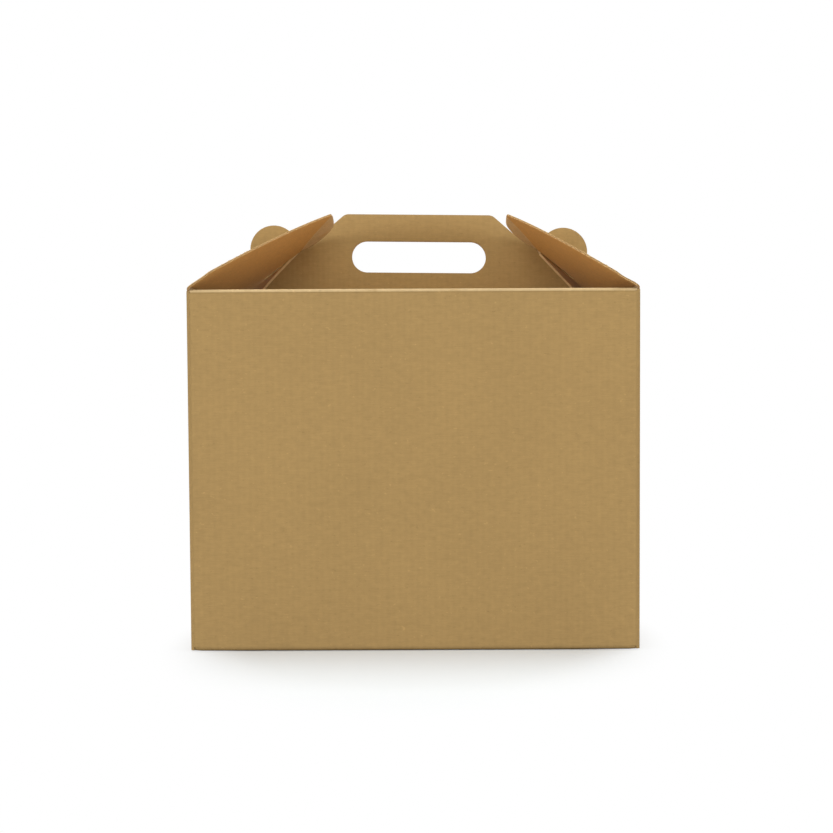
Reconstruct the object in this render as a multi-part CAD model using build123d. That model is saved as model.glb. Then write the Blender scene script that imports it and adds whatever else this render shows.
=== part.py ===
from build123d import *
import math
import os

# Driving sizes, in millimetres
width = 250.0               # outside, across the front
depth = 250.0               # outside, front to back
wall_height = 200.0         # table to the front wall's top crease
board = 1.5                 # thickness of the fluted board
fold_inner = 0.5            # inside radius of a fold
ply_gap = 0.3               # air between two boards that lie on each other
corner_relief = 1.8         # cut back of a panel's end where two creases meet

# Roof panels, which lie nearly flat and run in to mid-depth
roof_rise = 4.0             # height of the handle's foot above the top crease

# Handle, seen from the front: heights are above the top crease, insets from the side walls
handle_height = 60.0
handle_corner = 6.0
foot_inset = 18.0           # end of the handle's foot
hook_inset = 48.0           # where a slanted side meets the side flap
shoulder_inset = 65.0       # where a slanted side turns out into the ear's neck
handle_top_inset = 78.5
hole_margin = 17.5          # end of the hand hole from the shoulder, measured across
hole_width = 19.8
hole_height = 32.5          # centre of the hand hole
ear_radius = 15.6
ear_inset = 32.0            # centre of an ear
ear_lift = 13.55            # centre of an ear above the side flap's underside
neck_rise = 4.8             # line of the neck's top over the ear's centre
shoulder_rise = 6.3         # shoulder above that point
neck_round = 5.0

# Side flaps, which rise inward and rest against the handle
flap_angle = 36.9           # above level when closed
flap_length = 90.0          # crease to free end
flap_parallel = 15.0        # length of the straight sides beside the crease
flap_end_half = 36.0        # half the width of the free end
flap_bulge = 5.0            # how far the slanted sides stand out from a straight line
flap_corner = 8.0
hinge_gap = 0.3             # between a flap's rounded end and the wall below it
flap_side_gap = 0.5         # from a flap's side to the front wall's outer face
lock_clearance = 0.35       # each side of the handle in a flap's slot
mouth_round = 9.0           # rounded corners of the slot's mouth
lip_start = 61.0            # crease of a lip leaves the slot here
lip_bend = 7.0              # how far a lip is pressed down

# Glue flap, inside the right wall at the back
glue_flap_width = 30.0
glue_flap_short = 8.0       # cut back at its top and bottom

# Snap-lock bottom: front leaf outside, side leaves between, back leaf inside
leaf_relief = 3.5           # from a wall's end to its leaf
leaf_mitre = 16.0           # length of a leaf's slanted corners
leaf_ramp = 12.0            # run over which a leaf climbs to its own layer
ramp_round = 6.0            # bend at each end of a climb
leaf_overlap = 15.0         # front and back leaves reach this far past mid-depth
leaf_taper = 10.0           # narrowing of a big leaf over its reach
side_leaf_gap = 104.0       # between the tips of the side leaves
side_leaf_taper = 43.5      # narrowing of a side leaf's half over its reach
leaf_corner = 8.0
tongue_half = 46.0
tongue_reach = 24.0         # beyond the front leaf
tongue_slit = 30.0          # depth of the cuts beside the tongue
tongue_slack = 2.0          # each side, in the back leaf's recess
recess_depth = 26.0

# Sizes that follow from the driving ones
fold_outer = fold_inner + board
half_width = width / 2
half_depth = depth / 2
layer = board + ply_gap
corner_top = wall_height - fold_outer
roof_end_half = half_width - corner_relief
foot_half = half_width - foot_inset
hook_half = half_width - hook_inset
shoulder_half = half_width - shoulder_inset
handle_top_half = half_width - handle_top_inset
hole_length = 2 * (shoulder_half - hole_margin)
ear_half = half_width - ear_inset
handle_front = ply_gap / 2 + board
foot_top = wall_height + roof_rise + fold_outer
pivot_x = half_width - board / 2
pivot_lift = board / 2
pivot_z = wall_height + pivot_lift
flap_cos = math.cos(math.radians(flap_angle))
flap_sin = math.sin(math.radians(flap_angle))
slot_half = handle_front + lock_clearance
flap_slope = flap_sin / flap_cos
underside_lift = pivot_lift - (board / 2 - ply_gap) / flap_cos
hook_height = underside_lift + (pivot_x - hook_half) * flap_slope
ear_height = underside_lift + (pivot_x - ear_half) * flap_slope + ear_lift
neck_height = ear_height + neck_rise
shoulder_height = neck_height + shoulder_rise
wall_round_z = pivot_z - board / 2 - hinge_gap - board / 2
ear_from_pivot = math.hypot(pivot_x - ear_half, wall_height + ear_height - pivot_z)
slot_start = ear_from_pivot - ear_radius - 2 * lock_clearance
big_leaf = half_depth + leaf_overlap
side_leaf = half_width - side_leaf_gap / 2


def bent_board(points, radii):
    """Section of a bent board: a line along its outer face, with the board on its right."""
    face_line = FilletPolyline(*points, radius=radii)
    return make_face(offset(face_line, amount=board, side=Side.RIGHT))


def prism(outline, low, high):
    """A plan outline as an upright block between two heights."""
    return extrude(Pos(0, 0, low) * outline, amount=high - low)


def mirrored_outline(points):
    """A face closed across the middle from the points of its right half."""
    left = [(-x, y) for x, y in reversed(points)]
    return make_face(Polyline(*points, *left, close=True))


def walls():
    """The four walls as one tube with rounded upright folds."""
    outside = RectangleRounded(width, depth, fold_outer)
    inside = RectangleRounded(width - 2 * board, depth - 2 * board, fold_inner)
    return prism(outside - inside, fold_outer, corner_top)


def side_wall_top():
    """The right wall's top, rounded where the side flap's crease runs."""
    length = depth - 2 * fold_outer
    strip_height = wall_round_z - corner_top
    strip = Pos(pivot_x, 0, corner_top + strip_height / 2) * Box(board, length, strip_height)
    edge = Pos(pivot_x, 0, wall_round_z) * Rot(90, 0, 0) * Cylinder(board / 2, length)
    return strip + edge


def front_roof():
    """Front wall's top fold and roof panel, up to the fold at the handle's foot."""
    foot_z = wall_height + roof_rise
    section = bent_board(
        [
            (-half_depth, corner_top - board),
            (-half_depth, wall_height),
            (-handle_front, foot_z),
            (-handle_front, foot_top),
        ],
        [fold_outer, fold_inner],
    )
    sheet = extrude(Plane.YZ * section, amount=half_width, both=True)
    plan = mirrored_outline(
        [
            (roof_end_half, -half_depth),
            (roof_end_half, -half_depth + fold_outer),
            (foot_half, -handle_front),
            (foot_half, 0),
        ]
    )
    return sheet & prism(plan, 0, foot_top)


def ear():
    """Round lock ear on the handle's right side, cut off along the side flap's underside."""
    disc = Pos(ear_half, ear_height) * Circle(ear_radius)
    neck = make_face(
        Polyline(
            (handle_top_half, hook_height),
            (shoulder_half, shoulder_height),
            (ear_half, neck_height),
            (ear_half, ear_height - ear_radius / 2),
            (hook_half, hook_height),
            close=True,
        )
    )
    reach = flap_length * flap_cos
    drop = flap_length * flap_sin
    below_flap = make_face(
        Polyline(
            (hook_half, hook_height),
            (hook_half + reach, hook_height - drop),
            (hook_half, hook_height - drop),
            close=True,
        )
    )
    return disc + neck - below_flap


def handle_outline():
    """Handle panel seen from the front, with heights counted from the top crease."""
    foot = roof_rise + fold_outer
    panel = mirrored_outline(
        [
            (foot_half, foot),
            (hook_half, hook_height),
            (shoulder_half, shoulder_height),
            (handle_top_half, handle_height),
        ]
    )
    top_corners = panel.vertices().group_by(Axis.Y)[-1]
    panel = fillet(top_corners, handle_corner)
    right_ear = ear()
    outline = panel + right_ear + mirror(right_ear, about=Plane.YZ)
    return outline - Pos(0, hole_height) * SlotOverall(hole_length, hole_width)


def front_handle_ply():
    """The handle's front ply, standing on its foot."""
    at_front = Plane((0, -ply_gap / 2, wall_height), x_dir=(1, 0, 0), z_dir=(0, -1, 0))
    ply = extrude(at_front * handle_outline(), amount=board)
    low = wall_height + hook_height + board
    inner = shoulder_half - board
    necks = ply.edges().filter_by(Axis.Y).filter_by(
        lambda edge: edge.center().Z > low and abs(edge.center().X) > inner
    )
    return fillet(necks, neck_round)


def leaf_section(layers_up, reach):
    """Section of a bottom leaf: the wall's bottom fold, then a climb to its layer."""
    climb = layers_up * layer
    ramp_start = fold_outer + board
    ramp = [(ramp_start, 0), (ramp_start + leaf_ramp, climb)] if climb else []
    points = [(0, ramp_start), (0, 0), *ramp, (reach, climb)]
    radii = [fold_outer] + [ramp_round] * len(ramp)
    outer = FilletPolyline(*points, radius=radii)
    return make_face(offset(outer, amount=board, side=Side.LEFT))


def front_leaf():
    """Outer leaf, with the tongue that climbs through the back leaf's recess."""
    end = big_leaf - tongue_slit
    flat = leaf_section(0, big_leaf)
    flat_sheet = extrude(Plane.YZ * flat, amount=half_width, both=True)
    start = half_width - leaf_relief
    plan = mirrored_outline(
        [
            (start, 0),
            (start, fold_outer),
            (start - leaf_mitre, fold_outer + leaf_mitre),
            (start - leaf_mitre - leaf_taper, big_leaf),
            (tongue_half + tongue_slack, big_leaf),
            (tongue_half + tongue_slack, end),
        ]
    )
    outer_corners = plan.vertices().filter_by(
        lambda v: v.Y > end + board and abs(v.X) > tongue_half + leaf_corner
    )
    plan = fillet(outer_corners, leaf_corner)
    leaf = flat_sheet & prism(plan, 0, fold_outer + 2 * board)
    climb = 3 * layer
    tongue_line = FilletPolyline(
        (end - leaf_corner, 0),
        (end, 0),
        (end + tongue_slit, climb),
        (big_leaf + tongue_reach, climb),
        radius=ramp_round,
    )
    tongue_section = make_face(offset(tongue_line, amount=board, side=Side.LEFT))
    tongue_sheet = extrude(Plane.YZ * tongue_section, amount=tongue_half, both=True)
    tongue_plan = mirrored_outline(
        [
            (tongue_half, end - leaf_corner),
            (tongue_half, big_leaf + tongue_reach),
        ]
    )
    tip = tongue_plan.vertices().group_by(Axis.Y)[-1]
    tongue = tongue_sheet & prism(fillet(tip, 2 * leaf_corner), 0, 4 * layer)
    return Pos(0, -half_depth, 0) * (leaf + tongue)


def back_leaf():
    """Inner leaf, with the recess that the tongue goes up through."""
    section = leaf_section(2, big_leaf)
    sheet = extrude(Plane.YZ * section, amount=half_width, both=True)
    start = half_width - leaf_relief
    recess_half = tongue_half + tongue_slack
    plan = mirrored_outline(
        [
            (start, 0),
            (start, fold_outer),
            (start - leaf_mitre, fold_outer + leaf_mitre),
            (start - leaf_mitre - leaf_taper, big_leaf),
            (recess_half, big_leaf),
            (recess_half, big_leaf - recess_depth),
        ]
    )
    rounded = plan.vertices().filter_by(lambda v: v.Y > fold_outer + leaf_mitre + board)
    plan = fillet(rounded, leaf_corner / 2)
    leaf = sheet & prism(plan, 0, 4 * layer)
    return Pos(0, half_depth, 0) * mirror(leaf, about=Plane.XZ)


def right_leaf():
    """Side leaf between the two big ones."""
    section = leaf_section(1, side_leaf)
    sheet = extrude(Plane.YZ * section, amount=half_depth, both=True)
    start = half_depth - leaf_relief
    plan = mirrored_outline(
        [
            (start, 0),
            (start, fold_outer),
            (start - leaf_mitre, fold_outer + leaf_mitre),
            (start - leaf_mitre - side_leaf_taper, side_leaf),
        ]
    )
    tips = plan.vertices().group_by(Axis.Y)[-1]
    leaf = sheet & prism(fillet(tips, leaf_corner), 0, 3 * layer)
    return Pos(half_width, 0, 0) * Rot(0, 0, 90) * leaf


def glue_flap():
    """The sheet's glued end, lapped inside the right wall at the back corner."""
    low = 4 * layer + glue_flap_short
    high = corner_top - glue_flap_short
    x = half_width - 1.5 * board
    y = half_depth - board - glue_flap_width / 2
    return Pos(x, y, (low + high) / 2) * Box(board, glue_flap_width, high - low)


def body():
    """The folded sheet without its side flaps."""
    front = front_roof() + front_handle_ply()
    back = mirror(front, about=Plane.XZ)
    right = side_wall_top() + right_leaf()
    left = mirror(right, about=Plane.YZ)
    return walls() + front + back + right + left + front_leaf() + back_leaf() + glue_flap()


def flap_outline():
    """Half of a side flap's outline in its own plane, from the crease outward, mirrored."""
    side = half_depth - flap_side_gap
    start = Vector(flap_parallel, side)
    end = Vector(flap_length, flap_end_half)
    along = end - start
    outward = Vector(-along.Y, along.X).normalized()
    middle = start + along * 0.5 + outward * flap_bulge
    edge = Polyline((flap_length, 0), (0, 0), (0, side), (flap_parallel, side))
    slanted = ThreePointArc(start, middle, end)
    half = make_face([edge, slanted, Line(end, (flap_length, 0))])
    tip = half.vertices().sort_by_distance(end)[0]
    half = fillet(tip, flap_corner)
    slot = make_face(
        Polyline(
            (slot_start, 0),
            (slot_start, slot_half),
            (flap_length, slot_half),
            (flap_length, 0),
            close=True,
        )
    )
    half = half - slot
    mouth = half.vertices().sort_by_distance((flap_length, slot_half))[0]
    half = fillet(mouth, mouth_round)
    return half + mirror(half, about=Plane.XZ)


def lip_region():
    """The part of the front half beyond the lip's crease, seen in the flap's own plane."""
    return make_face(
        Polyline(
            (lip_start, slot_half - lock_clearance),
            (flap_length, flap_end_half),
            (flap_length + flap_corner, flap_end_half),
            (flap_length + flap_corner, slot_half - lock_clearance),
            close=True,
        )
    )


def flat_flap():
    """A side flap lying level, with its crease on the Y axis and its lips pressed down."""
    sheet = extrude(Pos(0, 0, -board / 2) * flap_outline(), amount=board)
    side = half_depth - flap_side_gap
    crease = Rot(90, 0, 0) * Cylinder(board / 2, 2 * side)
    region = extrude(Pos(0, 0, -board) * lip_region(), amount=2 * board)
    corner = Vector(lip_start, slot_half - lock_clearance)
    along = Vector(flap_length, flap_end_half) - corner
    fold = Axis((corner.X, corner.Y, 0), (along.X, along.Y, 0))
    lip = (sheet & region).rotate(fold, lip_bend)
    lips = lip + mirror(lip, about=Plane.XZ)
    flat = sheet - region - mirror(region, about=Plane.XZ)
    return flat + lips + crease


def right_side_flap():
    """The flap at rest on the right wall, closed."""
    closed = Plane(
        (pivot_x, 0, pivot_z),
        x_dir=(-flap_cos, 0, flap_sin),
        z_dir=(flap_sin, 0, flap_cos),
    )
    return closed * flat_flap()


def main():
    os.makedirs("parts", exist_ok=True)
    right_flap = right_side_flap()
    nodes = {
        "body": body(),
        "right_side_flap": right_flap,
        "left_side_flap": mirror(right_flap, about=Plane.YZ),
    }
    for name, solid in nodes.items():
        solid.label = name
        export_step(solid, f"parts/{name}.step")
        print(name, "solids", len(solid.solids()), "volume", round(solid.volume), "valid", solid.is_valid)


main()
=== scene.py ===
import math

import bmesh
import bpy
import numpy as np
from mathutils import Matrix, Vector
from mathutils.geometry import delaunay_2d_cdt


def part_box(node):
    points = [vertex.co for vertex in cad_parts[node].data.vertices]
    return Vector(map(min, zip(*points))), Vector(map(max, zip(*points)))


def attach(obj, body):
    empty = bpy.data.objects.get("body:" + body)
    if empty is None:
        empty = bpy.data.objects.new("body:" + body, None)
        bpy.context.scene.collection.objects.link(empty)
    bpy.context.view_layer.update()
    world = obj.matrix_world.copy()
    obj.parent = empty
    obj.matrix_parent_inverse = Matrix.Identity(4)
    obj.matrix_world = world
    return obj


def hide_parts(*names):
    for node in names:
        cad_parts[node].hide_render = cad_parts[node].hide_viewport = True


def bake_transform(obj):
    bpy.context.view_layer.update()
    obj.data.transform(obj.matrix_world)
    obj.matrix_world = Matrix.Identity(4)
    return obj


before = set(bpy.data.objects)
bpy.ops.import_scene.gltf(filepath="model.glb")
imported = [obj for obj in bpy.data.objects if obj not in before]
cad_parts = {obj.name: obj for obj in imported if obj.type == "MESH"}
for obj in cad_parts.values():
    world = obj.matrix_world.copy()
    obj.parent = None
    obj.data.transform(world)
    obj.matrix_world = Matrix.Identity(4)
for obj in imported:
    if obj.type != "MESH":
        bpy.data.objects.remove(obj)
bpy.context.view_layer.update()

# The sheets are laid out in millimetres and turned into metres when their meshes are made
MM = 0.001

# Sizes of the box, from the frame and as its construction has them
BODY_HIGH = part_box("body")[1]
FLAP_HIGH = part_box("right_side_flap")[1]
HALF_WIDTH = BODY_HIGH.x / MM
HALF_DEPTH = BODY_HIGH.y / MM
TOP = BODY_HIGH.z / MM
HANDLE_HEIGHT = 60.0
WALL = TOP - HANDLE_HEIGHT      # table to the top crease
BOARD = 1.5
FOLD_INNER = 0.5
FOLD_OUTER = FOLD_INNER + BOARD
PLY_GAP = 0.3
LAYER = BOARD + PLY_GAP
CORNER_RELIEF = 1.8             # how far the roof's sides stand in from the side walls
ROOF_RISE = 4.0
HANDLE_FRONT = PLY_GAP / 2 + BOARD

# Handle outline: heights above the top crease, insets from the side walls
HANDLE_CORNER = 6.0
HANDLE_TRIM = 0.8               # its cut edge lies a little lower than its full height
FOOT_HALF = HALF_WIDTH - 19.6
HOOK_HALF = HALF_WIDTH - 48.0
SHOULDER_HALF = HALF_WIDTH - 65.0
HANDLE_TOP_HALF = HALF_WIDTH - 78.5
HOLE_HALF_LENGTH = SHOULDER_HALF - 17.5
HOLE_RADIUS = 9.9
HOLE_HEIGHT = 32.5
EAR_RADIUS = 15.2
EAR_HALF = HALF_WIDTH - 33.3
NECK_ROUND = 5.0
HOOK_STEP = 1.0                 # how far the ear's lower edge lies up in the flap's slot
EAR_RISE = 11.9                 # the ear's middle over the flap's underside
NECK_RISE = 4.8                 # the neck over the ear's middle
SHOULDER_RISE = 6.3             # the shoulder over the neck
EAR_SLACK = 1.8                 # room for the ear at the slot's inner end

# Side flaps
FLAP_ANGLE = math.radians(36.9)
FLAP_SLOPE = math.tan(FLAP_ANGLE)
PIVOT_SIDE = HALF_WIDTH - BOARD / 2
PIVOT_Z = WALL + BOARD / 2
FLAP_LENGTH = 90.0
FLAP_PARALLEL = 15.0
FLAP_END_HALF = 36.0
FLAP_BULGE = 5.0
FLAP_CORNER = 8.0
FLAP_HALF = FLAP_HIGH.y / MM
SLOT_HALF = HANDLE_FRONT + 0.2  # the slot leaves a little room beside the handle
MOUTH_ROUND = 25.0
MOUTH_SLANT = 5.0               # how far the flap's end runs back towards its slot
LIP_START = 61.0                # where a lip's crease leaves the slot
LIP_DROP = 0.95                 # how steeply a lip is pressed down
LIP_FADE = 2.5                  # width over which its bend is round
LIP_POWER = 1.5                 # how its bend deepens past that width
LIP_BOW = 2.6                   # how far its crease stands off a straight line
LIP_EDGE = 0.8                  # how far before its crease its painted light starts
LIP_LIGHT_FALLOFF = 1.5                   # how fast the extra painted light at the crease falls off
LIP_MARKS = (0.5, 0.95)         # how strongly painted light and shade mark its outside and inside
LIP_CREASE_MARK = 0.3           # and how much more painted light its crease has
LIP_OPEN = 2.0                  # how far before the crease's start the painted light begins
HINGE_REACH = 1.4               # the flexible strip of a crease, each side of its pivot

# Heights that follow from the flap's underside
UNDERSIDE_LIFT = BOARD / 2 - (BOARD / 2 - PLY_GAP) / math.cos(FLAP_ANGLE)
HOOK_HEIGHT = UNDERSIDE_LIFT + (PIVOT_SIDE - HOOK_HALF) * FLAP_SLOPE
EAR_HEIGHT = UNDERSIDE_LIFT + (PIVOT_SIDE - EAR_HALF) * FLAP_SLOPE + EAR_RISE
NECK_HEIGHT = EAR_HEIGHT + NECK_RISE
SHOULDER_HEIGHT = NECK_HEIGHT + SHOULDER_RISE
EAR_FROM_PIVOT = math.hypot(PIVOT_SIDE - EAR_HALF, EAR_HEIGHT - BOARD / 2)
SLOT_START = EAR_FROM_PIVOT - EAR_RADIUS - EAR_SLACK

# Bottom leaves and glue flap
LEAF_RELIEF = 2.2
LEAF_MITRE = 16.0
LEAF_RAMP = 12.0
RAMP_ROUND = 6.0
BIG_LEAF = HALF_DEPTH + 15.0
LEAF_TAPER = 10.0
SIDE_LEAF = HALF_WIDTH - 52.0
SIDE_LEAF_TAPER = 43.5
LEAF_CORNER = 8.0
TONGUE_HALF = 46.0
TONGUE_SLACK = 2.0
TONGUE_REACH = 24.0
TONGUE_SLIT = 30.0
RECESS_DEPTH = 26.0
GLUE_FLAP_WIDTH = 30.0
GLUE_FLAP_SHORT = 8.0

# The set that a folded box takes on
WALL_BULGE = 0.8
BULGE_POWER = 0.8               # below one, so the bulge is fuller near the wall's ends
ROOF_SAG = 0.4
HANDLE_TILT = math.radians(0.7)
TILT_FADE = 12.0                # height over the roof in which the handle's lean sets in
RIGHT_SHORT = 2.4               # the right flap's edge is cut back a little

# How far each side's flap sinks and rises, and from where to where along it
FLAP_SETTLE = {-1: (0.5, 0.0), 1: (1.3, 1.9)}
SINK_SPAN = (HINGE_REACH, 12.0)
RISE_SPAN = (8.0, 96.0)

# The fluted board: two liners and a wave between them, and how finely it is drawn
PITCH = 3.3
LINER = 0.32
MEDIUM = 0.24
CUT_DEPTH = 1.6                 # how far one can look into a flute
CUT_ACROSS = 0.25               # the share of it where the cut runs along the flutes
WAVE_ROOM = 0.02                # the wave's crests stay this far off the liners
PRESSED = 0.25                  # how far each face is pressed in along a cut edge
PRESSED_WIDTH = 1.7
PRESSED_STEP = 2.2              # spacing of the points where the pressing ends
PRESSED_SHARE = 0.9             # the share of its width by which they clear other edges
STEPS_PER_FLUTE = 7
FOLD_STEPS = 8
CREASE_STEPS = 7                # rows of the flexible strip at a flap's crease
LEAF_TABLE = 2000               # entries of the table from a leaf's reach to its length
GRID = 14.0                     # spacing of the points inside a panel
LONG_STEP = 7.0
CURVE_STEP = 0.9
SAME = 1e-4                     # points closer than this are at the same place

# How far the points on the lines keep from the border, those of the grid from the border and from
# the lines, and those beside the border from the lines
LINE_CLEAR = 0.5
GRID_CLEAR = (2.5, 3.0)
PRESSED_CLEAR = 0.4

# Distances beside a fold at which the mesh has lines. Its marks end by the second
BESIDE = (0.45, 1.1, 3.0)
FLAP_BESIDE = (*BESIDE, 5.0, 7.5, 10.5)
UPRIGHT_END = 0.3               # how far the lines beside an upright fold stop short of its ends
CREASE_IN = 0.6                 # how far inside a fold its paler middle starts: whitened paper and painted highlight
CORNER_SHADE_MARK = 0.16              # the upright folds get only a little painted shade, no highlight
LIP_GAPS = (-LIP_EDGE, 0.0, 0.7, 1.5, 2.6, 4.2, 7.0)
LIP_PAST = 6                    # how far the lines beside a lip's crease run past its ends
LIP_STATIONS = 13

# The painted highlight along the handle's slanted sides fades out between these depths
SLANT_LINES = (1.1, 1.8)
SLANT_END = 0.5                 # how far its lines stop short of its ends
SLANT_HIGHLIGHT = 1.9                # a mark over one paints the paper paler: a painted highlight

# Where the rounded corners end over the table, and under the top crease
CORNER_FOOT = 0.4
CORNER_HEAD = 0.9

# Where the pieces lie in the pattern of the paper, so that no two show the same part of it
PANEL_STEP = 400.0
TONGUE_STEP = 300.0
GLUE_FLAP_AT = 2000.0
FLAP_AT = 3000.0
CREASE_AT = 4000.0
SIDE_STEP = 500.0

# Kinds of face, which are the material slots of every board piece
OUTSIDE, INSIDE, CUT, HOLLOW = range(4)


def unit(v):
    """A plane vector of length one."""
    v = np.asarray(v, float)
    return v / np.hypot(*v)


def bearing(v):
    """The angle of a plane vector."""
    return math.atan2(v[1], v[0])


def nowhere(point):
    """False at every point, for a panel without seams or slits."""
    return False


def smooth(value, low, high):
    """Nought to one between two values, level at both ends."""
    share = np.clip((value - low) / (high - low), 0, 1)
    return share * share * (3 - 2 * share)


def fading(beside):
    """A crease's mark at a distance beside it."""
    return np.clip(1 - beside / BESIDE[1], 0, 1)


def link(piece):
    """Puts an object into the scene."""
    bpy.context.scene.collection.objects.link(piece)


class Section:
    """A bent board seen from its end: the middle of the board as straight legs and round folds.

    The corners given are those of its outer face, which is on the left on the way along it. v is
    the length along the middle of the board, and t the height over it, up to half a board at the
    outer face.
    """

    def __init__(self, corners, radii):
        corners = np.array(corners, float)
        legs = np.diff(corners, axis=0)
        lengths = np.hypot(legs[:, 0], legs[:, 1])
        headings = np.arctan2(legs[:, 1], legs[:, 0])
        turns = (np.diff(headings) + math.pi) % (2 * math.pi) - math.pi
        cuts = np.concatenate([[0], np.array(radii) * np.tan(np.abs(turns) / 2), [0]])
        self.spans, self.leg_start = [], []
        v = 0.0
        for i, heading in enumerate(headings):
            ahead = np.array([math.cos(heading), math.sin(heading)])
            left = np.array([-ahead[1], ahead[0]])
            start = corners[i] + ahead * cuts[i] - left * BOARD / 2
            length = lengths[i] - cuts[i] - cuts[i + 1]
            self.leg_start.append(v - cuts[i])
            self.spans.append((v, length, start, heading, 0.0))
            v += length
            if i < len(turns):
                turn = turns[i]
                radius = radii[i] + math.copysign(BOARD / 2, turn)
                self.spans.append((v, radius * abs(turn), start + ahead * length, heading, turn))
                v += radius * abs(turn)
        self.length = v

    def at(self, leg, distance):
        """v at a distance along a leg from its first corner."""
        return self.leg_start[leg] + distance

    def place(self, v, t):
        """Points of the section plane for arrays of v and t."""
        v, t = np.broadcast_arrays(np.asarray(v, float), np.asarray(t, float))
        out = np.zeros(v.shape + (2,))
        for n, (start, length, origin, heading, turn) in enumerate(self.spans):
            low = start if n else -math.inf
            high = start + length if n < len(self.spans) - 1 else math.inf
            here = (v >= low) & (v < high)
            s = v[here] - start
            angle = heading + (turn * s / length if turn else 0 * s)
            left = np.stack([-np.sin(angle), np.cos(angle)], -1)
            if turn:
                radius = math.copysign(length / abs(turn), turn)
                first = np.array([-math.sin(heading), math.cos(heading)])
                middle = origin + radius * first - radius * left
            else:
                middle = origin + s[:, None] * np.array([math.cos(heading), math.sin(heading)])
            out[here] = middle + left * t[here, None]
        return out

    def fold_rows(self):
        """The v of each fold's drawn lines, with a few beside it where its marks fade out."""
        rows = []
        for start, length, _, _, turn in self.spans:
            if turn:
                rows += list(np.linspace(start, start + length, FOLD_STEPS + 1))
                rows += [start - g for g in BESIDE] + [start + length + g for g in BESIDE]
        return [v for v in rows if 0 < v < self.length]

    def crease(self, v):
        """One in the middle of a fold, falling to zero beside it."""
        mark = np.zeros(np.shape(v))
        for start, length, _, _, turn in self.spans:
            if turn:
                beside = np.maximum(start - v, v - start - length)
                mark = np.maximum(mark, fading(beside + CREASE_IN))
        return mark


def rounded(points):
    """An outline with its corners rounded. Each point is (x, y) or (x, y, radius)."""
    pts = [np.array(p[:2], float) for p in points]
    radii = [p[2] if len(p) > 2 else 0.0 for p in points]
    count = len(pts)
    drop, arcs = set(), {}
    for i, radius in enumerate(radii):
        if not radius:
            continue
        before, after = unit(pts[i - 1] - pts[i]), unit(pts[(i + 1) % count] - pts[i])
        opening = math.acos(np.clip(before @ after, -1, 1))
        reach = radius / math.tan(opening / 2)
        ends = []
        for step in (-1, 1):
            left, j = reach, i
            while True:
                k = (j + step) % count
                gap = np.hypot(*(pts[k] - pts[j]))
                if gap >= left:
                    ends.append(pts[j] + (pts[k] - pts[j]) * left / gap)
                    break
                left, j = left - gap, k
                drop.add(k)
        start, end = ends
        weight = math.sin(opening / 2)
        n = max(4, math.ceil(radius * (math.pi - opening) / CURVE_STEP))
        arc = []
        for s in np.linspace(0, 1, n + 1):
            a, b, c = (1 - s) ** 2, 2 * s * (1 - s) * weight, s * s
            arc.append((a * start + b * pts[i] + c * end) / (a + b + c))
        arcs[i] = arc
    out = []
    for i, p in enumerate(pts):
        if i in arcs:
            out += arcs[i]
        elif i not in drop:
            out.append(p)
    return out


def arc_points(centre, radius, first, last):
    """Points on a circle between two angles."""
    n = max(3, math.ceil(abs(last - first) * radius / CURVE_STEP))
    turn = np.linspace(first, last, n + 1)
    return [(centre[0] + radius * math.cos(a), centre[1] + radius * math.sin(a)) for a in turn]


def fine_outline(points):
    """The outline with enough points for the wave between the liners to show on it."""
    out = []
    for p, q in zip(points, points[1:] + points[:1]):
        p, q = np.asarray(p, float), np.asarray(q, float)
        across = abs(q[0] - p[0]) * STEPS_PER_FLUTE / PITCH
        n = max(1, math.ceil(across), math.ceil(np.hypot(*(q - p)) / LONG_STEP))
        out += [p + (q - p) * s / n for s in range(n)]
    kept = [p for p, q in zip(out, out[-1:] + out[:-1]) if np.hypot(*(p - q)) > SAME]
    return np.array(kept)


def inside(points, loops):
    """Which points lie inside the loops, by the even-odd rule."""
    result = np.zeros(len(points), bool)
    x, y = points[:, 0], points[:, 1]
    for loop in loops:
        for (x0, y0), (x1, y1) in zip(loop, np.roll(loop, -1, axis=0)):
            if y0 == y1:
                continue
            crossed = (y0 <= y) != (y1 <= y)
            result ^= crossed & (x < x0 + (y - y0) * (x1 - x0) / (y1 - y0))
    return result


def clear_of(points, others, gap):
    """The points that lie further than a gap from all the others."""
    if not len(points) or not len(others):
        return points
    near = [np.abs(others - p).max(1).min() for p in points]
    return points[np.array(near) > gap]


def inset(loop, loops):
    """Points along a loop, inside the sheet, where the pressed cut edge ends."""
    ahead = np.roll(loop, -1, axis=0) - np.roll(loop, 1, axis=0)
    ahead /= np.maximum(np.hypot(ahead[:, 0], ahead[:, 1]), 1e-9)[:, None]
    into = np.stack([-ahead[:, 1], ahead[:, 0]], -1) * PRESSED_WIDTH
    run = np.cumsum(np.hypot(*(loop - np.roll(loop, 1, axis=0)).T))
    picked = np.concatenate([[True], np.diff(np.floor(run / PRESSED_STEP)) > 0])
    points = np.concatenate([(loop + into)[picked], (loop - into)[picked]])
    points = points[inside(points, loops)]
    border = np.concatenate(loops)
    near = [np.hypot(*(border - p).T).min() for p in points]
    return points[np.array(near) > PRESSED_SHARE * PRESSED_WIDTH]


def cut_border(triangles, verts, is_seam):
    """The border's edges: those that were cut, and those where the sheet goes on."""
    sides = np.concatenate([triangles[:, [0, 1]], triangles[:, [1, 2]], triangles[:, [2, 0]]])
    known = {(a, b) for a, b in sides.tolist()}
    border = sorted((a, b) for a, b in known if (b, a) not in known)
    seam = [(a, b) for a, b in border if is_seam((verts[a] + verts[b]) / 2)]
    cut = set(border) - set(seam)
    return sorted(cut), seam


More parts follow.
